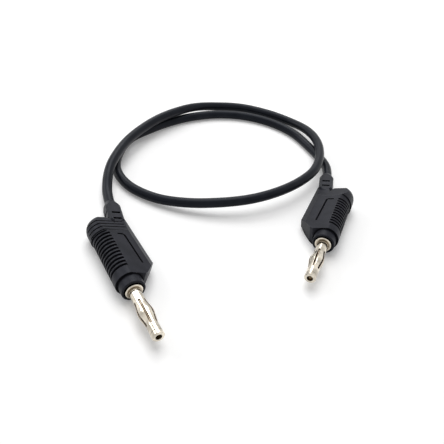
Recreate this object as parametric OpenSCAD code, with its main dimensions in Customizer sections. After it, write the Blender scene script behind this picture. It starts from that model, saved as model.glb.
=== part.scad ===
// Stackable 4 mm test lead: two moulded plugs joined by one insulated cord, laid in a loop and a half.
// X runs across the two plugs, Y from the pins to the back of the loop and Z up from the surface below.
// The origin lies on that surface, under the middle of the two plugs.
// Each plug is drawn round its own pin axis: its X points to the pin tip and is zero at the front of
// the metal flange, its Y points to the wing that the cord leaves by, and its Z is square to both.

/* [Pin] */
// Length of the pin from the flange to its tip
pin_len = 19; // [18:0.5:22]
// Radius of the core that the spring cage turns on
core_r = 1.6; // [1.45:0.05:1.65]
// Radius of the flared ring that keeps the cage on the core
tip_r = 1.98; // [1.92:0.01:1.99]
// Length of the flared ring
tip_len = 1.5; // [1:0.1:2]
// Radius of the hole drilled in the tip
tip_hole_r = 1.05; // [0.8:0.05:1.2]
// Depth of the hole drilled in the tip
tip_hole_depth = 3; // [1:0.5:6]
// Radius of the shoulder behind the cage
shoulder_r = 2.05; // [1.95:0.05:2.4]
// Length of the shoulder behind the cage
shoulder_len = 0.9; // [0.5:0.1:1.5]
// Radius of the flange that closes the front of the housing
flange_r = 2.87; // [2.7:0.01:3]
// Thickness of the flange
flange_t = 1.4; // [1:0.1:2]

/* [Spring cage] */
// Number of spring leaves
leaf_count = 6; // [4:1:8]
// Radius of the cage over its leaves at the middle
bulge_r = 2.55; // [2.45:0.05:2.8]
// Thickness of the spring sheet
sheet_t = 0.3; // [0.2:0.05:0.35]
// Width of the slit between two leaves
slit_w = 0.6; // [0.3:0.05:0.8]
// Length of the plain collar at the flange end of the cage
rear_collar = 3.9; // [3:0.1:4.5]
// Length of the plain collar at the tip end of the cage
front_collar = 3.2; // [2.4:0.1:4]
// Gap all round between the core and the cage
cage_fit = 0.05; // [0.02:0.01:0.1]
// Free play at each end of the cage
cage_play = 0.1; // [0.05:0.05:0.2]

/* [Socket] */
// Radius of the stem that the housing is moulded round
stem_r = 2.8; // [2.6:0.05:3]
// Radius of the rear socket's bore
socket_r = 2.02; // [2:0.01:2.1]
// Depth of the rear socket's bore
socket_depth = 20; // [14:0.5:21]
// Distance from the flange to the socket's mouth
socket_mouth = 33; // [32:0.25:34]
// Radius of the guard hole in the housing behind the socket
guard_r = 2.35; // [2.2:0.05:2.6]
// Number of retaining grooves round the stem
stem_grooves = 2; // [1:1:3]
// Depth of each retaining groove
stem_groove_d = 0.4; // [0.2:0.05:0.6]

/* [Housing] */
// Distance from the pin axis to each broad face, square to the face
face_half = 4.4; // [4.3:0.05:4.5]
// Radius of the round side of the barrel that the pin runs through
barrel_r = 4.7; // [4.6:0.05:4.85]
// Slope of each broad face from the barrel down to the wing
face_slope = 11; // [9:0.5:12]
// Distance from the pin axis to the outer wall of the wing, at its front corner
wing_w = 10.5; // [10.3:0.05:11.5]
// Lean of the wing's outer wall toward the pin axis at its rear
wing_taper = 2; // [0:0.25:2.5]
// Distance from the pin axis to the edge where each face ends
face_w = 8.2; // [7.8:0.05:8.8]
// Half height of the wing's outer wall
wall_half = 1.35; // [1:0.05:1.8]
// Distance from the flange to the front of the barrel
barrel_front = 4.2; // [4:0.1:4.8]
// Distance from the flange to the front end of the wing's slanted edge
slant_from = 5.1; // [4.9:0.1:5.6]
// Distance from the pin axis to the front end of the wing's slanted edge
slant_w = 5.9; // [4.9:0.1:6.2]
// Distance from the flange to the wing's front corner
slant_to = 10.9; // [10:0.1:12]
// Distance from the flange to the step at the tail, on the upper face
tail_step = 25.1; // [24.9:0.1:25.4]
// Lean of the step round the tail
step_lean = 12; // [6:1:14]
// Turn of the step across the upper face
step_turn = 5; // [0:1:8]
// Distance from the flange to the end of the tail
tail_end = 34.2; // [34:0.1:34.6]
// Radius of the tail
tail_r = 5.05; // [4.95:0.05:5.2]
// Distance from the pin axis to each face at the end of the tail
tail_half = 3.35; // [3.3:0.05:3.6]
// Length of the rounding of the tail's round side at its rear
tail_round = 4; // [2:0.25:5]
// Height of the rounding of the tail's round side at its rear
tail_drop = 2.7; // [1.5:0.1:2.8]
// Radius of the rounding of the tail's faces at their rear
face_round = 1.2; // [0.8:0.1:1.4]
// Distance from the flange to the front of the round scoop in the lower face
scoop_from = 26.1; // [25.8:0.1:27.5]
// Distance from the pin axis to the middle of the scoop
scoop_w = 2.6; // [2:0.1:3.5]
// Radius of the scoop
scoop_r = 7.5; // [7:0.25:9]
// Depth of the scoop at its front
scoop_drop = 0.3; // [0.1:0.05:0.4]
// Radius of the nose in front of the barrel
nose_r = 3.95; // [3.7:0.05:4.1]
// Distance from the flange to the front of the nose
nose_front = 0.6; // [0.4:0.1:1.2]
// Radius of the recess round the flange
recess_r = 3.3; // [3.1:0.05:3.35]
// Depth of the recess round the flange
recess_depth = 0.7; // [0.3:0.1:0.7]

/* [Grip] */
// Number of grip grooves round the barrel
grip_count = 11; // [6:1:11]
// Distance from one grip groove to the next
grip_pitch = 1.58; // [1.3:0.02:1.6]
// Distance from the flange to the first grip groove
grip_start = 8; // [7:0.1:8.2]
// Depth of the grip grooves
grip_depth = 0.6; // [0.3:0.05:0.8]
// Width of a grip groove at its mouth
grip_w = 1; // [0.7:0.05:1.2]
// Number of ridge lines across the upper tail
ridge_count = 4; // [2:1:5]
// Distance from one ridge line to the next
ridge_pitch = 1.7; // [1.2:0.05:1.8]
// Depth of the ridge lines
ridge_depth = 0.3; // [0.15:0.05:0.4]
// Width of the ridge lines
ridge_line = 0.5; // [0.3:0.05:0.6]
// Distance from the step to the first ridge line
step_land = 0.15; // [0.1:0.05:0.3]
// Turn of the ridge lines across the upper face
line_turn = 7.5; // [5:0.5:9]
// Distance from the pin axis to the ridge lines' bend at the edge of the barrel
line_from = -2.3; // [-2.6:0.1:-2]
// Distance from the pin axis to the ridge lines' ends beside the wing
line_to = 7.3; // [6.8:0.1:7.6]
// Distance past the pin axis at which the grip grooves stop
grip_stop = 0.3; // [0.1:0.1:0.6]
// Width of the shallow line pressed into each face
line_w = 0.8; // [0.5:0.05:0.9]
// Depth of the shallow line pressed into each face
line_depth = 0.45; // [0.2:0.05:0.5]
// Distance from the flange to the front of the shallow line's long arm
arm_front = 9.3; // [8.8:0.1:10.5]
// Distance from the flange to the rear of the shallow line
arm_rear = 24.2; // [23.8:0.1:24.4]
// Distance from the pin axis to the long arm at its rear
arm_w = 4.4; // [4.2:0.05:4.8]
// Lean of the long arm toward the wing at its front
arm_flare = 0.9; // [0.5:0.05:1.1]
// Distance from the pin axis to the end of the short arm
arm_end = 1.5; // [1.3:0.1:2]
// How much nearer to the pin axis the line lies on the lower face
arm_shift = 1; // [0:0.1:1.2]

/* [Strain relief] */
// Distance from the pin axis to the strain relief's centreline at its root
relief_w = 6.6; // [6.3:0.05:6.8]
// Half width of the strain relief
relief_half = 2.75; // [2.65:0.05:2.95]
// Half height of the strain relief
relief_tall = 2.5; // [2.45:0.05:2.8]
// Angle between the strain relief and the pin axis
relief_angle = 9.5; // [8:0.25:10.5]
// Distance from the flange to the start of the strain relief's cone
relief_cone = 42.2; // [41.5:0.1:43]
// Distance from the flange to the end of the strain relief
relief_end = 45.4; // [44.8:0.1:46.4]
// Radius of the strain relief at its end
relief_tip = 2; // [1.95:0.05:2.3]
// Number of slots on each side
slot_count = 2; // [1:1:2]
// Distance from the flange to the first slot in the upper side
slot_start = 34; // [33.8:0.1:34.4]
// Distance from the first upper slot to the first lower one
slot_shift = 1.2; // [0:0.1:1.6]
// Distance from one slot to the next
slot_pitch = 3.3; // [3:0.1:3.6]
// Width of each slot
slot_w = 1; // [0.7:0.05:1.2]
// Half length of each slot
slot_half = 1.5; // [1.3:0.1:1.8]
// Distance from the strain relief's centreline to the floor of each slot
slot_floor = 1.6; // [1.5:0.05:1.7]

/* [Cord] */
// Diameter of the cord
cord_d = 3.7; // [3.5:0.05:3.9]
// Diameter of the copper conductor
wire_d = 2; // [1.6:0.05:2.2]
// Gap all round between the jacket and the housing's bore
jacket_fit = 0.02; // [0.01:0.01:0.05]
// Length of jacket that is held in each plug
jacket_in = 15; // [10:0.5:18]
// Distance from the flange to the cross hole that takes the conductor
wire_at = 10.5; // [10:0.1:11.5]
// Depth of the cross hole
wire_hole = 1.8; // [1:0.1:2]
// Thickness of plastic between the stem and the conductor that runs beside it
wire_gap = 0.3; // [0.2:0.05:0.5]

/* [Lay] */
// Left plug's flange, across
left_x = -47.2; // [-60:0.1:-40]
// Left plug's flange, along
left_y = -13.7; // [-30:0.1:0]
// Distance across from the left plug's flange to the right plug's
plug_gap = 69.7; // [60:0.1:90]
// Distance along from the left plug's flange to the right plug's
plug_lead = 0; // [-15:0.1:15]
// Heading of the left pin's tip
left_heading = -90; // [-95:0.5:-85]
// Heading of the right pin's tip
right_heading = -137; // [-142:0.5:-132]

/* [Hidden] */
$fn = 64;

nickel = [0.86, 0.84, 0.78];
copper = [0.72, 0.43, 0.28];
black = [0.2, 0.2, 0.22];

// A little extra length so that a cutter passes right through a face
over = 1;
// Small bevel on turned metal edges
edge = 0.25;
// Turn of the right plug's cage, so that a slit faces up there and a leaf faces up on the left one
half_leaf = 180 / leaf_count;

cord_r = cord_d / 2;
wire_r = wire_d / 2;
cage_r = core_r + cage_fit;
cage_from = shoulder_len + cage_play;
cage_to = pin_len - tip_len - cage_play;
leaf_from = cage_from + rear_collar;
leaf_to = cage_to - front_collar;
leaf_rise = bulge_r - cage_r - sheet_t;
socket_floor = socket_mouth - socket_depth;

// Half thickness of the housing at a distance from the pin axis, out to the edge of the face
function half_at(w) = (face_half - w * sin(face_slope)) / cos(face_slope);
// Distance of the strain relief's centreline from the pin axis, at a distance behind the flange
function relief_at(u) = relief_w + (u - relief_root) * tan(relief_angle);
relief_root = 34;
// Length over which the strain relief grows out of the tail, on each side of its root
relief_blend = 3;
relief_corner = 1.15 * relief_half;
// Distance of the conductor from the pin axis where it runs beside the stem, and where that run begins
wire_w = stem_r + wire_gap + wire_r;
wire_bend = relief_root + (wire_w - relief_w) / tan(relief_angle);
// Slopes of the tail's upper face and of the scoop's floor; the upper one starts inside the first ridge line
slope_from = tail_step + step_land + ridge_line / 2;
upper_slope = atan((face_half - tail_half) / (tail_end - slope_from));
lower_slope = atan((face_half - tail_half - scoop_drop) / (tail_end - scoop_from));
// How far the barrel runs on inside the round tail
barrel_lap = 4;
// Longer than any cut across a plug
tall = 30;
// Well outside the wing
far_w = wing_w + 2 * over;

// Places in the lead's own frame
function turned_x(p, a) = [p.x, p.y * cos(a) - p.z * sin(a), p.y * sin(a) + p.z * cos(a)];
function turned_z(p, a) = [p.x * cos(a) - p.y * sin(a), p.x * sin(a) + p.y * cos(a), p.z];
left_roll = -face_slope;
right_roll = 180 + face_slope;
left_at = [left_x, left_y, face_half];
right_at = left_at + [plug_gap, plug_lead, 0];
exit_point = [-relief_end, relief_at(relief_end), 0];
exit_aim = [-cos(relief_angle), sin(relief_angle), 0];
left_exit = left_at + turned_z(turned_x(exit_point, left_roll), left_heading);
right_exit = right_at + turned_z(turned_x(exit_point, right_roll), right_heading);
left_aim = turned_z(turned_x(exit_aim, left_roll), left_heading);
right_aim = turned_z(turned_x(exit_aim, right_roll), right_heading);

// Route of the cord's centreline: out of the left plug, over its own strand, round the back, over it
// again on the right, across the front in a low hump, round the left and the back once more on the
// surface, and down to the right plug
route = [[-37.1, 40, 3.1], [-34.2, 47, 4.9], [-29.7, 54, 5.9], [-21.5, 63.5, 6.1], [-12.5, 71, 6.1],
         [-2, 77.5, 6.1], [8.5, 82, 5.8], [19.5, 86, 4.5], [31, 87.5, 2.7], [43.3, 84.5, 2],
         [53, 76.5, 2], [59, 67, 2.4], [60.5, 55.5, 4.4], [58, 44, 5.9], [52.3, 33.5, 6.3],
         [44, 25, 6.4], [33.5, 19.5, 6.5], [22, 16.5, 6.3], [10, 16, 5.8], [-1.5, 18.5, 4.9],
         [-12.5, 23.5, 3.6], [-21.7, 31, 2.4], [-28, 41.5, 1.9], [-28.7, 53, 1.9], [-23.5, 64, 1.9],
         [-15.5, 72.5, 1.9], [-4.5, 77.5, 1.9], [7, 81, 1.9], [18.5, 82.5, 1.9], [30.5, 81.5, 1.9],
         [41.5, 77, 1.9], [50.3, 69, 1.9], [55.5, 58.5, 1.9], [56.5, 46.5, 1.9], [55.8, 36.5, 2.2],
         [54.4, 30.5, 2.5]];
// Straight length of cord where it leaves each plug
stub = 3;
// Sides of the cord's tube
sides = 8;

// Smooth curve through the points of a path, with two rings to each span
function curve(a, b, c, d, t) =
    (2 * b + (c - a) * t + (2 * a - 5 * b + 4 * c - d) * t * t + (3 * b - a - 3 * c + d) * t * t * t) / 2;
function unit(v) = v / norm(v);
way = concat([left_exit - stub * left_aim, left_exit, left_exit + stub * left_aim], route,
             [right_exit + stub * right_aim, right_exit, right_exit - stub * right_aim]);
centres = concat([for (i = [1:len(way) - 3], t = [0, 0.5])
                      curve(way[i - 1], way[i], way[i + 1], way[i + 2], t)],
                 [right_exit]);
last = len(centres) - 1;
function heading_at(i) =
    i == 0 ? left_aim : i == last ? -right_aim : unit(centres[i + 1] - centres[i - 1]);
function ring(i) =
    let (ahead = heading_at(i), across = unit(cross(ahead, [0, 0, 1])), rise = cross(across, ahead))
    [for (k = [0:sides - 1])
        let (a = (k + 0.5) * 360 / sides)
        centres[i] + cord_r * (cos(a) * across + sin(a) * rise)];

// Stands a plug where it lies: its lower face is flat on the surface
module place(at, roll, heading) {
    translate(at)
        rotate([roll, 0, heading])
            children();
}
module at_left() {
    place(left_at, left_roll, left_heading)
        children();
}
module at_right() {
    place(right_at, right_roll, right_heading)
        children();
}

// Turns a profile of radius and distance ahead round the pin axis
module turned() {
    rotate([0, 90, 0])
        rotate_extrude()
            children();
}

// A round bar or bore on the pin axis between two distances ahead of the flange
module round_bar(from, to, r) {
    translate([from, 0, 0])
        rotate([0, 90, 0])
            cylinder(h = to - from, r = r);
}

// A straight bar or bore along the strain relief's centreline
module wire_run(from, to, r) {
    translate([-from, relief_at(from), 0])
        rotate([0, 0, -relief_angle])
            rotate([0, 90, 0])
                cylinder(h = (from - to) / cos(relief_angle), r = r);
}

// The conductor: down the strain relief, round a slight bend with a round knuckle, forward beside the
// stem and across into the stem's hole
module wire_shape() {
    short = wire_r / 5;
    wire_run(relief_end, wire_bend + short, wire_r);
    translate([-wire_bend, wire_w, 0])
        sphere(r = wire_r + short / 2);
    translate([0, wire_w, 0])
        round_bar(short - wire_bend, wire_r - wire_at, wire_r);
    translate([-wire_at, stem_r - wire_hole, 0])
        rotate([-90, 0, 0])
            cylinder(h = wire_w - stem_r + wire_hole, r = wire_r);
}

// The contact's outer form, without its bores
module contact_blank() {
    groove_gap = (wire_at - wire_r - flange_t) / (stem_grooves + 1);
    groove_w = groove_gap / 3;
    turned()
        polygon(concat(
            [[0, pin_len], [tip_r - edge, pin_len], [tip_r, pin_len - edge], [tip_r, pin_len - tip_len],
             [core_r, pin_len - tip_len], [core_r, shoulder_len], [shoulder_r, shoulder_len],
             [shoulder_r, 0], [flange_r - edge, 0], [flange_r, -edge], [flange_r, -flange_t],
             [stem_r, -flange_t]],
            [for (i = [1:stem_grooves], p = [[0, 1], [1, 1], [1, -1], [0, -1]])
                [stem_r - p.x * stem_groove_d, -flange_t - i * groove_gap + p.y * groove_w / 2]],
            [[stem_r, -socket_mouth], [0, -socket_mouth]]));
}

module contact() {
    color(nickel)
        difference() {
            contact_blank();
            round_bar(pin_len - tip_hole_depth, pin_len + over, tip_hole_r);
            round_bar(-socket_mouth - over, -socket_floor, socket_r);
            translate([-wire_at, stem_r - wire_hole, 0])
                rotate([-90, 0, 0])
                    cylinder(h = wire_hole + over, r = wire_r);
        }
}

// Inner radius of the spring cage at a distance ahead of the flange
function cage_at(x) =
    x <= leaf_from || x >= leaf_to ? cage_r
    : cage_r + leaf_rise * (1 - cos(360 * (x - leaf_from) / (leaf_to - leaf_from))) / 2;

// The cage: each slit runs on a little way into both collars
module spring_cage(turn) {
    steps = 16;
    slit_run = slit_w / 3;
    stations = [for (i = [0:steps]) leaf_from + (leaf_to - leaf_from) * i / steps];
    color(nickel)
        rotate([turn, 0, 0])
            difference() {
                turned()
                    polygon(concat(
                        [[cage_r, cage_from], [cage_r + sheet_t, cage_from]],
                        [for (x = stations) [cage_at(x) + sheet_t, x]],
                        [[cage_r + sheet_t, cage_to], [cage_r, cage_to]],
                        [for (i = [0:steps]) let (x = stations[steps - i]) [cage_at(x), x]]));
                for (i = [0:leaf_count - 1])
                    rotate([(i + 0.5) * 360 / leaf_count, 0, 0])
                        translate([leaf_from - slit_run, -slit_w / 2, 0])
                            cube([leaf_to - leaf_from + 2 * slit_run, slit_w, bulge_r + over]);
            }
}

module conductor() {
    color(copper)
        wire_shape();
}

module jacket_end() {
    color(black)
        difference() {
            wire_run(relief_end, relief_end - jacket_in, cord_r);
            wire_run(relief_end + over, relief_end - jacket_in - over, wire_r);
        }
}

// The space between the planes of the two sloped faces, in cross-section
module between_faces() {
    near_w = -tail_r - over;
    polygon([[near_w, half_at(near_w)], [far_w, half_at(far_w)],
             [far_w, -half_at(far_w)], [near_w, -half_at(near_w)]]);
}

// Cross-section of the housing through its barrel and its wing
module section() {
    touch_w = face_half * sin(face_slope);
    touch_h = face_half * cos(face_slope);
    intersection() {
        union() {
            circle(r = barrel_r);
            polygon([[touch_w, touch_h], [far_w, half_at(far_w)], [far_w, -half_at(far_w)],
                     [touch_w, -touch_h], [touch_w - face_half, 0]]);
        }
        between_faces();
    }
}

// Draws a cross-section out from one distance behind the flange to another
module run(from, to) {
    translate([-to, 0, 0])
        rotate([90, 0, 90])
            linear_extrude(height = to - from)
                children();
}

// Distance from the flange to the wing's slanted edge, at a distance from the pin axis
function slant_at(w) = slant_from + (slant_to - slant_from) * (w - slant_w) / (wing_w - slant_w);

// The barrel and its wing, with the slanted front edge; its rear end lies inside the strain relief
module body() {
    behind = relief_root + relief_blend;
    barrel_back = tail_step + barrel_lap;
    intersection() {
        run(barrel_front, behind)
            section();
        inside_wing();
        translate([0, 0, -tall / 2])
            linear_extrude(height = tall)
                polygon([[-barrel_front, -tall], [-barrel_front, barrel_r], [-slant_from, slant_w],
                         [-slant_at(far_w), far_w], [-behind, far_w], [-behind, relief_at(behind)],
                         [tail_round - tail_end, relief_at(tail_end) - relief_half],
                         [tail_round - tail_end, 0], [-barrel_back, 0], [-barrel_back, -tall]]);
    }
}

// The space inside the wing's outer wall and the bevels that join it to the faces
module inside_wing() {
    bevel_w = wing_w - face_w;
    bevel_h = half_at(face_w) - wall_half;
    far = tall / bevel_w;
    translate([-slant_to, wing_w, 0])
        rotate([0, 0, wing_taper])
            run(-tall, tall)
                polygon([[0, wall_half], [-far * bevel_w, wall_half + far * bevel_h],
                         [-far * bevel_w, -wall_half - far * bevel_h], [0, -wall_half]]);
}

module nose() {
    turned()
        polygon([[0, -barrel_front - over], [nose_r, -barrel_front - over], [nose_r, -nose_front - edge],
                 [nose_r - edge, -nose_front], [0, -nose_front]]);
}

// Puts cutters on the leaning plane of the step at the front of the tail
module at_step() {
    translate([-tail_step, line_from, face_half])
        rotate([0, step_lean, step_turn])
            children();
}

// The round side of the tail, behind the leaning step, with its rear edge rounded
module tail() {
    steps = 8;
    intersection() {
        run(barrel_front, tail_end)
            between_faces();
        turned()
            polygon(concat(
                [[0, -barrel_front], [tail_r, -barrel_front]],
                [for (i = [0:steps]) let (a = 90 * i / steps)
                    [tail_r - tail_drop * (1 - cos(a)), tail_round * (1 - sin(a)) - tail_end]],
                [[0, -tail_end]]));
        at_step()
            translate([-tall * 2, -tall, -tall])
                cube([tall * 2, tall * 2, tall * 2]);
    }
}

// Puts cutters on the slope of the tail's upper face
module at_upper_slope() {
    rotate([-face_slope, 0, 0])
        translate([-slope_from, line_from, face_half])
            rotate([0, -upper_slope, line_turn])
                children();
}

// Puts cutters on the floor of the scoop in the tail's lower face
module at_scoop() {
    translate([-scoop_from, 0, scoop_drop - face_half])
        rotate([0, lower_slope, 0])
            children();
}

// Cutters for the tail's faces: a plane above, a round shallow scoop below, and both rear edges rounded
module tail_slopes() {
    at_upper_slope() {
        translate([-tall, -tall, 0])
            cube([tall, tall * 2, tall]);
        translate([0, relief_w - line_from, 0])
            rear_round((tail_end - slope_from) / cos(upper_slope));
    }
    rotate([face_slope, 0, 0]) {
        intersection() {
            translate([-scoop_from - scoop_r, scoop_w, -tall])
                cylinder(h = tall, r = scoop_r);
            at_scoop()
                translate([-tall, -tall, -tall])
                    cube([tall * 2, tall * 2, tall]);
        }
        at_scoop()
            translate([0, relief_w, 0])
                mirror([0, 0, 1])
                    rear_round((tail_end - scoop_from) / cos(lower_slope));
    }
}

// Cutter that rounds the rear edge of a face at a distance behind the start of its slope
module rear_round(back) {
    steps = 6;
    rotate([90, 0, 0])
        linear_extrude(height = tall)
            polygon(concat(
                [for (i = [0:steps]) let (a = 90 * i / steps)
                    [face_round * (1 - sin(a)) - back, face_round * (cos(a) - 1)]],
                [[-back - over, -face_round], [-back - over, over], [face_round - back, over]]));
}

// The strain relief: it grows out of the tail, runs on as a bar and closes to the cord in a cone
module relief() {
    inside = relief_root - relief_blend;
    stretch = 1 / cos(relief_angle);
    intersection() {
        translate([-inside, relief_at(inside), 0])
            rotate([0, 0, 180 - relief_angle])
                intersection() {
                    rotate([90, 0, 90])
                        linear_extrude(height = (relief_end - inside) * stretch)
                            square([2 * relief_half, 2 * relief_tall], center = true);
                    turned()
                        polygon([[0, 0], [relief_tip, 0], [relief_corner, relief_blend * stretch],
                                 [relief_corner, (relief_cone - inside) * stretch],
                                 [relief_tip, (relief_end - inside) * stretch],
                                 [0, (relief_end - inside) * stretch]]);
                }
        run(0, relief_end + over)
            between_faces();
    }
}

// Cutters for the slots across the two broad sides of the strain relief and those between on its edges
module relief_slots() {
    mouth = relief_half + over;
    reach = mouth - slot_floor;
    for (i = [0:slot_count - 1], side = [1, -1]) {
        broad_u = slot_start + i * slot_pitch + (side > 0 ? 0 : slot_shift);
        edge_u = slot_start + (i + 0.5) * slot_pitch;
        translate([-broad_u, relief_at(broad_u), 0])
            rotate([0, 0, -relief_angle])
                translate([0, 0, side * (mouth - reach / 2)])
                    cube([slot_w, 2 * slot_half, reach], center = true);
        translate([-edge_u, relief_at(edge_u), 0])
            rotate([0, 0, -relief_angle])
                translate([0, side * (mouth - reach / 2), 0])
                    cube([slot_w, reach, 2 * slot_half], center = true);
    }
}

// Cutters for the grip grooves, which run round the barrel and stop where the faces begin
module grip() {
    floor_r = barrel_r - grip_depth;
    mouth_r = barrel_r + grip_depth;
    intersection() {
        turned()
            for (i = [0:grip_count - 1]) {
                x = -grip_start - i * grip_pitch;
                polygon([[floor_r, x - grip_w / 4], [floor_r, x + grip_w / 4],
                         [mouth_r, x + grip_w * 3 / 4], [mouth_r, x - grip_w * 3 / 4]]);
            }
        translate([-tail_end, -tall - grip_stop, -tall / 2])
            cube([tail_end, tall, tall]);
    }
}

// Cutters for the ridge lines, which cross the upper slope of the tail and run on down its round side
module ridges() {
    intersection() {
        at_step()
            for (i = [0:ridge_count - 1])
                translate([-step_land - ridge_line - i * ridge_pitch, -tall, -tall])
                    cube([ridge_line, tall * 2, tall * 2]);
        difference() {
            translate([-tail_end, -tall, 0])
                cube([tail_end, tall + line_to, tall]);
            intersection() {
                at_upper_slope()
                    translate([-tall, -tall, -tall - ridge_depth])
                        cube([tall * 2, tall * 2, tall]);
                union() {
                    round_bar(-tail_end - over, 0, tail_r - ridge_depth);
                    translate([-tail_end - over, 0, -tall / 2])
                        cube([tail_end + over, tall, tall]);
                }
            }
        }
    }
}

// Cutter for the shallow line on a face: a long arm beside the wing and a short arm across its rear
module face_line(side, shift) {
    rotate([-side * face_slope, 0, 0])
        translate([0, -shift, side * face_half])
            linear_extrude(height = 2 * line_depth, center = true)
                polygon([[-arm_front, arm_w + arm_flare], [-arm_front, arm_w + arm_flare - line_w],
                         [line_w - arm_rear, arm_w - line_w], [line_w - arm_rear, arm_end],
                         [-arm_rear, arm_end], [-arm_rear, arm_w - line_w], [line_w - arm_rear, arm_w]]);
}

module housing() {
    color(black)
        difference() {
            union() {
                difference() {
                    union() {
                        body();
                        tail();
                    }
                    tail_slopes();
                    ridges();
                }
                nose();
                relief();
            }
            grip();
            relief_slots();
            face_line(1, 0);
            face_line(-1, arm_shift);
            contact_blank();
            wire_shape();
            wire_run(relief_end + over, relief_end - jacket_in, cord_r + jacket_fit);
            round_bar(-nose_front - recess_depth, over, recess_r);
            round_bar(-tail_end - over, -socket_mouth + over, guard_r);
        }
}

module cord() {
    rings = [for (i = [0:last]) each ring(i)];
    walls = [for (i = [0:last - 1], k = [0:sides - 1])
        let (n = (k + 1) % sides, a = i * sides, b = a + sides)
        each [[a + k, b + n, b + k], [a + k, a + n, b + n]]];
    front_cap = [for (k = [0:sides - 1]) sides - 1 - k];
    rear_cap = [for (k = [0:sides - 1]) last * sides + k];
    color(black)
        polyhedron(points = rings, faces = concat([front_cap], walls, [rear_cap]), convexity = 10);
}

at_left() contact();  // left_contact
at_left() spring_cage(0);  // left_spring_cage
at_left() conductor();  // left_conductor
at_left() jacket_end();  // left_jacket_end
at_left() housing();  // left_housing
at_right() contact();  // right_contact
at_right() spring_cage(half_leaf);  // right_spring_cage
at_right() conductor();  // right_conductor
at_right() jacket_end();  // right_jacket_end
at_right() housing();  // right_housing
cord();
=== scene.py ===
import math

import bpy
from mathutils import Matrix, Vector


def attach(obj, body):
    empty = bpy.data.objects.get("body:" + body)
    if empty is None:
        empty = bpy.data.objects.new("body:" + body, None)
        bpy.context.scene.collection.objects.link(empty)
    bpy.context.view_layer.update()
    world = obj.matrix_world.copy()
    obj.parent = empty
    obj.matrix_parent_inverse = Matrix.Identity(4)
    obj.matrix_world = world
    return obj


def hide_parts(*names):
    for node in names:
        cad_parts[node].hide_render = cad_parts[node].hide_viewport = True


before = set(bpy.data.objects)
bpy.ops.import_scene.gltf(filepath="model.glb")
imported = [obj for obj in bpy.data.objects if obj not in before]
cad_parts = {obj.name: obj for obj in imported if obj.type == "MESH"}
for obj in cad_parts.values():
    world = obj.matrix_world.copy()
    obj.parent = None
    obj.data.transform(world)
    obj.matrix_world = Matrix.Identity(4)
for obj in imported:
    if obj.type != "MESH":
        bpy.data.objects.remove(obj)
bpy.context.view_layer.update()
MM = 0.001

# The photograph's camera, in the lead's own frame; angles in degrees, ends of view in metres
PHOTO_SIZE = 444
FOCAL_PX = 655.6
SENSOR_MM = 36.0
CAMERA_AT = Vector((-105.0, -144.1, 146.5)) * MM
CAMERA_TURN = -33.0
CAMERA_DOWN = 38.0
CAMERA_ROLL = 9.64
CAMERA_SHIFT_Y = 0.001
CAMERA_NEAR = 0.01
CAMERA_FAR = 10

# The cord's centreline in millimetres, as the construction lays it
CORD_D = 3.7
EXIT_STUB = 3.0
LEFT_EXIT = Vector((-38.8486, 31.7, 2.7767))
LEFT_AIM = Vector((0.16202, 0.98629, -0.03149))
RIGHT_EXIT = Vector((50.0078, 23.3705, 2.7767))
RIGHT_AIM = Vector((0.61083, 0.79114, -0.03149))
ROUTE = (
    (-37.1, 40, 3.1), (-34.2, 47, 4.9), (-29.7, 54, 5.9), (-21.5, 63.5, 6.1), (-12.5, 71, 6.1),
    (-2, 77.5, 6.1), (8.5, 82, 5.8), (19.5, 86, 4.5), (31, 87.5, 2.7), (43.3, 84.5, 2),
    (53, 76.5, 2), (59, 67, 2.4), (60.5, 55.5, 4.4), (58, 44, 5.9), (52.3, 33.5, 6.3),
    (44, 25, 6.4), (33.5, 19.5, 6.5), (22, 16.5, 6.3), (10, 16, 5.8), (-1.5, 18.5, 4.9),
    (-12.5, 23.5, 3.6), (-21.7, 31, 2.4), (-28, 41.5, 1.9), (-28.7, 53, 1.9), (-23.5, 64, 1.9),
    (-15.5, 72.5, 1.9), (-4.5, 77.5, 1.9), (7, 81, 1.9), (18.5, 82.5, 1.9), (30.5, 81.5, 1.9),
    (41.5, 77, 1.9), (50.3, 69, 1.9), (55.5, 58.5, 1.9), (56.5, 46.5, 1.9), (55.8, 36.5, 2.2),
    (54.4, 30.5, 2.5),
)
STEPS_PER_SPAN = 10
ROUND_STEPS = 6

# The faint, cool gloss of the two black plastics
GLOSS_TINT = (0.86, 0.91, 1.0, 1)
HOUSING_GLOSS = 0.11
CORD_GLOSS = 0.115

# The moulding's mottle, a highlight painted on its sharp edges, and painted shade that makes its
# matt grooves nearly black
HOUSING_DARK = (0.010, 0.0105, 0.0145)
HOUSING_PALE = (0.0173, 0.0178, 0.0243)
HOUSING_EDGE_HIGHLIGHT = (0.067, 0.070, 0.078)
HOUSING_EDGE = 0.12 * MM
HOUSING_PAINTED_SHADE = (0.002, 0.002, 0.003)
HOUSING_HOLLOW_ROUGH = (0.9, 0.9, 0.9)

# The jacket's mottle
CORD_DARK = (0.005, 0.0062, 0.0097)
CORD_PALE = (0.010, 0.0115, 0.016)

# The nickel: its dull patches take a share of its colour, and painted shade turns its slits,
# bores and the cage's sharp edges brown
NICKEL = (0.86, 0.79, 0.67)
NICKEL_DULL = tuple(c * 0.53 for c in NICKEL)
NICKEL_PAINTED_SHADE = (0.13, 0.09, 0.055)
NICKEL_EDGE_SHADE = (0.12, 0.085, 0.055)
SHEET_EDGE_SHADE_REACH = 0.25 * MM

# The conductors' copper
COPPER_DARK = (0.50, 0.24, 0.14)
COPPER_PALE = (0.72, 0.38, 0.24)

# Where a mottle begins and ends in its noise
MOTTLE_FROM = 0.35
MOTTLE_TO = 0.65

# Cosines between a face's own and its rounded normal: where an edge begins, and where it is full
EDGE_BEGINS = 0.995
EDGE_FULL = 0.93
MASK_SAMPLES = 8

# The colour sockets of a Mix node, whose names it shares with the sockets of its other types
MIX_LOW = 6
MIX_HIGH = 7
MIX_RESULT = 2

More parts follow.
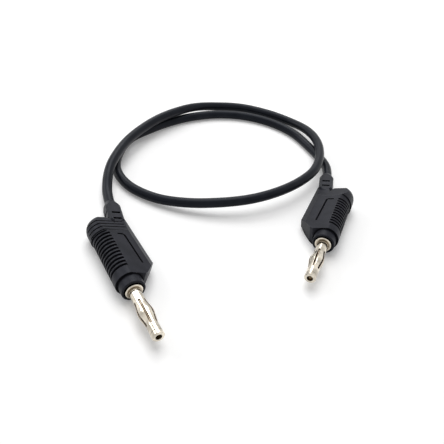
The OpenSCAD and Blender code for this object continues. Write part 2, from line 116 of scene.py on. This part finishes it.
# The floor, and how its glow rises with the distance from the lead, in metres
FLOOR_SIZE = 20.0
FLOOR_COLOUR = (0.9, 0.9, 0.9, 1)
FLOOR_ROUGH = 0.7
FLOOR_GLOSS = 0.1
GLOW_NEAR = 0.25
GLOW_FAR = 1.2
GLOW_LOW = 0.18
GLOW_HIGH = 0.66

# The studio: the world's light, and the level that it shows
WHITE = (1, 1, 1, 1)
WORLD_LIGHT = 0.32
WORLD_SHOWN = 0.95

# The softboxes: name, place and size in metres, and power in watts
LIGHTS_AIM = (0, 0.03, 0)
SOFTBOXES = (
    ("top_light", (0.08, 0.36, 1.0), 0.8, 6.3),
    ("back_light", (0.25, 0.7, 0.68), 0.5, 2.2),
    ("left_light", (-0.5, 0.72, 0.47), 0.5, 2.1),
)


def add_camera():
    """The photograph's camera: turned, pitched down and rolled."""
    data = bpy.data.cameras.new("photo_camera")
    data.sensor_width = SENSOR_MM
    data.sensor_height = SENSOR_MM
    data.lens = FOCAL_PX / PHOTO_SIZE * SENSOR_MM
    data.shift_y = CAMERA_SHIFT_Y
    data.clip_start = CAMERA_NEAR
    data.clip_end = CAMERA_FAR
    camera = bpy.data.objects.new("photo_camera", data)
    bpy.context.collection.objects.link(camera)
    turn = Matrix.Rotation(math.radians(CAMERA_TURN), 4, "Z")
    pitch = Matrix.Rotation(math.radians(90 - CAMERA_DOWN), 4, "X")
    roll = Matrix.Rotation(math.radians(CAMERA_ROLL), 4, "Z")
    camera.matrix_world = Matrix.Translation(CAMERA_AT) @ turn @ pitch @ roll
    bpy.context.scene.camera = camera


def curve_point(a, b, c, d, t):
    """A point between b and c on the smooth curve through a, b, c and d."""
    square = 2 * a - 5 * b + 4 * c - d
    cube = 3 * b - a - 3 * c + d
    return (2 * b + (c - a) * t + square * t**2 + cube * t**3) / 2


def cord_line():
    """The cord's centreline as close points, in metres."""
    way = [LEFT_EXIT - EXIT_STUB * LEFT_AIM, LEFT_EXIT, LEFT_EXIT + EXIT_STUB * LEFT_AIM]
    way += [Vector(p) for p in ROUTE]
    way += [RIGHT_EXIT + EXIT_STUB * RIGHT_AIM, RIGHT_EXIT, RIGHT_EXIT - EXIT_STUB * RIGHT_AIM]
    line = []
    for i in range(1, len(way) - 2):
        for step in range(STEPS_PER_SPAN):
            line.append(curve_point(*way[i - 1:i + 3], step / STEPS_PER_SPAN))
    line.append(way[-2])
    return [p * MM for p in line]


def add_cord(material):
    """The free cord: one open spline with a round section."""
    line = cord_line()
    data = bpy.data.curves.new("cord_jacket", "CURVE")
    data.dimensions = "3D"
    data.bevel_depth = CORD_D / 2 * MM
    data.bevel_resolution = ROUND_STEPS
    spline = data.splines.new("POLY")
    spline.points.add(len(line) - 1)
    for point, place in zip(spline.points, line):
        point.co = (*place, 1)
    spline.use_smooth = True
    data.materials.append(material)
    cord = bpy.data.objects.new("cord_jacket", data)
    bpy.context.collection.objects.link(cord)
    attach(cord, "lead")
    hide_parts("cord")


def new_material(name):
    """A node material, with its node tree and its shader."""
    material = bpy.data.materials.new(name)
    material.use_nodes = True
    tree = material.node_tree
    shader = tree.nodes["Principled BSDF"]
    return material, tree, shader


def noise(tree, scale, detail):
    """Noise in the object's own metres, from 0 to 1."""
    place = tree.nodes.new("ShaderNodeTexCoord")
    node = tree.nodes.new("ShaderNodeTexNoise")
    node.inputs["Scale"].default_value = scale
    node.inputs["Detail"].default_value = detail
    tree.links.new(place.outputs["Object"], node.inputs["Vector"])
    return node.outputs["Fac"]


def mottle(tree, value, low, high):
    """Maps noise to a colour between two colours."""
    node = tree.nodes.new("ShaderNodeValToRGB")
    start, end = node.color_ramp.elements
    start.position = MOTTLE_FROM
    start.color = (*low, 1)
    end.position = MOTTLE_TO
    end.color = (*high, 1)
    tree.links.new(value, node.inputs["Fac"])
    return node.outputs["Color"]


def map_range(tree, value, from_low=0.0, from_high=1.0, to_low=0.0, to_high=1.0, smooth=False):
    """Maps a number in one range to a number in another, and keeps it inside that one."""
    node = tree.nodes.new("ShaderNodeMapRange")
    if smooth:
        node.interpolation_type = "SMOOTHSTEP"
    node.inputs["From Min"].default_value = from_low
    node.inputs["From Max"].default_value = from_high
    node.inputs["To Min"].default_value = to_low
    node.inputs["To Max"].default_value = to_high
    tree.links.new(value, node.inputs["Value"])
    return node.outputs["Result"]


def maths(tree, operation, first, second):
    """One calculation with two numbers."""
    node = tree.nodes.new("ShaderNodeMath")
    node.operation = operation
    tree.links.new(first, node.inputs[0])
    tree.links.new(second, node.inputs[1])
    return node.outputs["Value"]


def blend(tree, mask, low, high):
    """Mixes two colours by a mask; each is a colour or the output of a node."""
    node = tree.nodes.new("ShaderNodeMix")
    node.data_type = "RGBA"
    tree.links.new(mask, node.inputs["Factor"])
    for socket, colour in ((node.inputs[MIX_LOW], low), (node.inputs[MIX_HIGH], high)):
        if isinstance(colour, tuple):
            socket.default_value = (*colour, 1)
        else:
            tree.links.new(colour, socket)
    return node.outputs[MIX_RESULT]


def bump(tree, shader, height, distance, strength, normal=None):
    """Raises the surface by a height, over the face's own normal or another one."""
    node = tree.nodes.new("ShaderNodeBump")
    node.inputs["Distance"].default_value = distance
    node.inputs["Strength"].default_value = strength
    tree.links.new(height, node.inputs["Height"])
    if normal:
        tree.links.new(normal, node.inputs["Normal"])
    tree.links.new(node.outputs["Normal"], shader.inputs["Normal"])


def soft_edges(tree, radius):
    """Normals that round the edges off, and a mask that is 1 on sharp edges and 0 elsewhere."""
    node = tree.nodes.new("ShaderNodeBevel")
    node.samples = MASK_SAMPLES
    node.inputs["Radius"].default_value = radius
    own = tree.nodes.new("ShaderNodeNewGeometry")
    turn = tree.nodes.new("ShaderNodeVectorMath")
    turn.operation = "DOT_PRODUCT"
    tree.links.new(node.outputs["Normal"], turn.inputs[0])
    tree.links.new(own.outputs["Normal"], turn.inputs[1])
    return node.outputs["Normal"], map_range(tree, turn.outputs["Value"], EDGE_BEGINS, EDGE_FULL)


def hollows(tree, reach, deep, open_air):
    """A mask that is 0 deep in grooves, slits and bores and 1 in the open."""
    node = tree.nodes.new("ShaderNodeAmbientOcclusion")
    node.samples = MASK_SAMPLES
    node.inputs["Distance"].default_value = reach
    return map_range(tree, node.outputs["AO"], deep, open_air)


def set_gloss(shader, level):
    """The gloss of a black plastic."""
    shader.inputs["Specular IOR Level"].default_value = level
    shader.inputs["Specular Tint"].default_value = GLOSS_TINT


def housing_material():
    """Black moulding with a fine grain, a highlight painted on its sharp edges, and painted
    shade in its matt grooves.
    """
    material, tree, shader = new_material("moulded_black")
    set_gloss(shader, HOUSING_GLOSS)
    normal, edge = soft_edges(tree, HOUSING_EDGE)
    faces = mottle(tree, noise(tree, scale=220, detail=5), HOUSING_DARK, HOUSING_PALE)
    # Painted highlight: the sharp edges are lightened as if they caught the lamps
    highlighted = blend(tree, edge, faces, HOUSING_EDGE_HIGHLIGHT)
    in_open = hollows(tree, reach=1.0 * MM, deep=0.72, open_air=0.95)
    # Painted shade: hemmed-in grooves go nearly black
    colour = blend(tree, in_open, HOUSING_PAINTED_SHADE, highlighted)
    tree.links.new(colour, shader.inputs["Base Color"])
    grain = map_range(tree, noise(tree, scale=900, detail=3), to_low=0.32, to_high=0.46)
    rough = blend(tree, in_open, HOUSING_HOLLOW_ROUGH, grain)
    tree.links.new(rough, shader.inputs["Roughness"])
    pits = noise(tree, scale=3800, detail=2)
    bump(tree, shader, pits, distance=0.03 * MM, strength=0.35, normal=normal)
    return material


def cord_material():
    """Smooth black jacket with a soft gloss."""
    material, tree, shader = new_material("jacket_black")
    set_gloss(shader, CORD_GLOSS)
    colour = mottle(tree, noise(tree, scale=160, detail=4), CORD_DARK, CORD_PALE)
    tree.links.new(colour, shader.inputs["Base Color"])
    rough = map_range(tree, noise(tree, scale=600, detail=3), to_low=0.26, to_high=0.38)
    tree.links.new(rough, shader.inputs["Roughness"])
    bump(tree, shader, noise(tree, scale=1500, detail=3), distance=0.02 * MM, strength=0.3)
    return material


def nickel_material(name, rough_low, rough_high, edge_shade_reach=None):
    """Uneven nickel plating, with brown painted shade deep in slits and bores, and on sharp
    edges if asked.
    """
    material, tree, shader = new_material(name)
    shader.inputs["Metallic"].default_value = 1.0
    plating = mottle(tree, noise(tree, scale=320, detail=4), NICKEL_DULL, NICKEL)
    normal = None
    if edge_shade_reach:
        normal, edge = soft_edges(tree, edge_shade_reach)
        # Painted shade: the leaves' sharp edges along the slits go brown
        plating = blend(tree, edge, plating, NICKEL_EDGE_SHADE)
    in_open = hollows(tree, reach=1.2 * MM, deep=0.45, open_air=0.9)
    # Painted shade: hemmed-in slits and bores go dark brown
    colour = blend(tree, in_open, NICKEL_PAINTED_SHADE, plating)
    tree.links.new(colour, shader.inputs["Base Color"])
    grain = noise(tree, scale=1400, detail=3)
    rough = map_range(tree, grain, to_low=rough_low, to_high=rough_high)
    tree.links.new(rough, shader.inputs["Roughness"])
    pits = noise(tree, scale=2600, detail=2)
    bump(tree, shader, pits, distance=0.015 * MM, strength=0.25, normal=normal)
    return material


def copper_material():
    """Bare copper, slightly uneven."""
    material, tree, shader = new_material("bare_copper")
    shader.inputs["Metallic"].default_value = 1.0
    colour = mottle(tree, noise(tree, scale=900, detail=3), COPPER_DARK, COPPER_PALE)
    tree.links.new(colour, shader.inputs["Base Color"])
    rough = map_range(tree, noise(tree, scale=1800, detail=2), to_low=0.25, to_high=0.4)
    tree.links.new(rough, shader.inputs["Roughness"])
    return material


def set_material(node, material):
    """Gives one of the construction's nodes its material."""
    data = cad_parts[node].data
    data.materials.clear()
    data.materials.append(material)


def background_rays(tree):
    """1 for the rays that show the background: seen straight, in a gloss or through glass."""
    path = tree.nodes.new("ShaderNodeLightPath")
    seen = path.outputs["Is Camera Ray"]
    for name in ("Is Glossy Ray", "Is Transmission Ray"):
        seen = maths(tree, "MAXIMUM", seen, path.outputs[name])
    return seen


def floor_glow(tree):
    """What lifts the floor to white where it is seen: little at the lead, more far from it."""
    place = tree.nodes.new("ShaderNodeTexCoord")
    away = tree.nodes.new("ShaderNodeVectorMath")
    away.operation = "LENGTH"
    tree.links.new(place.outputs["Object"], away.inputs[0])
    lift = map_range(tree, away.outputs["Value"], GLOW_NEAR, GLOW_FAR, GLOW_LOW, GLOW_HIGH,
                     smooth=True)
    return maths(tree, "MULTIPLY", lift, background_rays(tree))


def add_floor():
    """A plain white floor that keeps the lead's shadow and shows white to the camera."""
    half = FLOOR_SIZE / 2
    corners = [(-half, -half, 0), (half, -half, 0), (half, half, 0), (-half, half, 0)]
    data = bpy.data.meshes.new("floor")
    data.from_pydata(corners, [], [(0, 1, 2, 3)])
    floor = bpy.data.objects.new("floor", data)
    bpy.context.collection.objects.link(floor)
    material, tree, shader = new_material("white_floor")
    shader.inputs["Base Color"].default_value = FLOOR_COLOUR
    shader.inputs["Roughness"].default_value = FLOOR_ROUGH
    shader.inputs["Specular IOR Level"].default_value = FLOOR_GLOSS
    shader.inputs["Emission Color"].default_value = WHITE
    tree.links.new(floor_glow(tree), shader.inputs["Emission Strength"])
    data.materials.append(material)


def add_world():
    """A plain pale studio: one level of light, and a paler one that is seen and reflected."""
    world = bpy.data.worlds.new("studio")
    world.use_nodes = True
    tree = world.node_tree
    background = tree.nodes["Background"]
    background.inputs["Color"].default_value = WHITE
    level = map_range(tree, background_rays(tree), to_low=WORLD_LIGHT, to_high=WORLD_SHOWN)
    tree.links.new(level, background.inputs["Strength"])
    bpy.context.scene.world = world


def add_softbox(name, place, size, power):
    """A square lamp that is aimed at the lead."""
    data = bpy.data.lights.new(name, "AREA")
    data.shape = "SQUARE"
    data.size = size
    data.energy = power
    light = bpy.data.objects.new(name, data)
    light.location = place
    aim = Vector(LIGHTS_AIM) - Vector(place)
    light.rotation_euler = aim.to_track_quat("-Z", "Y").to_euler()
    bpy.context.collection.objects.link(light)


bpy.context.scene.view_settings.view_transform = "Standard"
add_camera()
jacket = cord_material()
add_cord(jacket)
housing = housing_material()
turned = nickel_material("nickel_turned", rough_low=0.12, rough_high=0.22)
sheet = nickel_material("nickel_sheet", rough_low=0.09, rough_high=0.18,
                        edge_shade_reach=SHEET_EDGE_SHADE_REACH)
copper = copper_material()
for side in ("left", "right"):
    set_material(side + "_housing", housing)
    set_material(side + "_contact", turned)
    set_material(side + "_spring_cage", sheet)
    set_material(side + "_conductor", copper)
    set_material(side + "_jacket_end", jacket)
add_floor()
add_world()
for softbox in SOFTBOXES:
    add_softbox(*softbox)
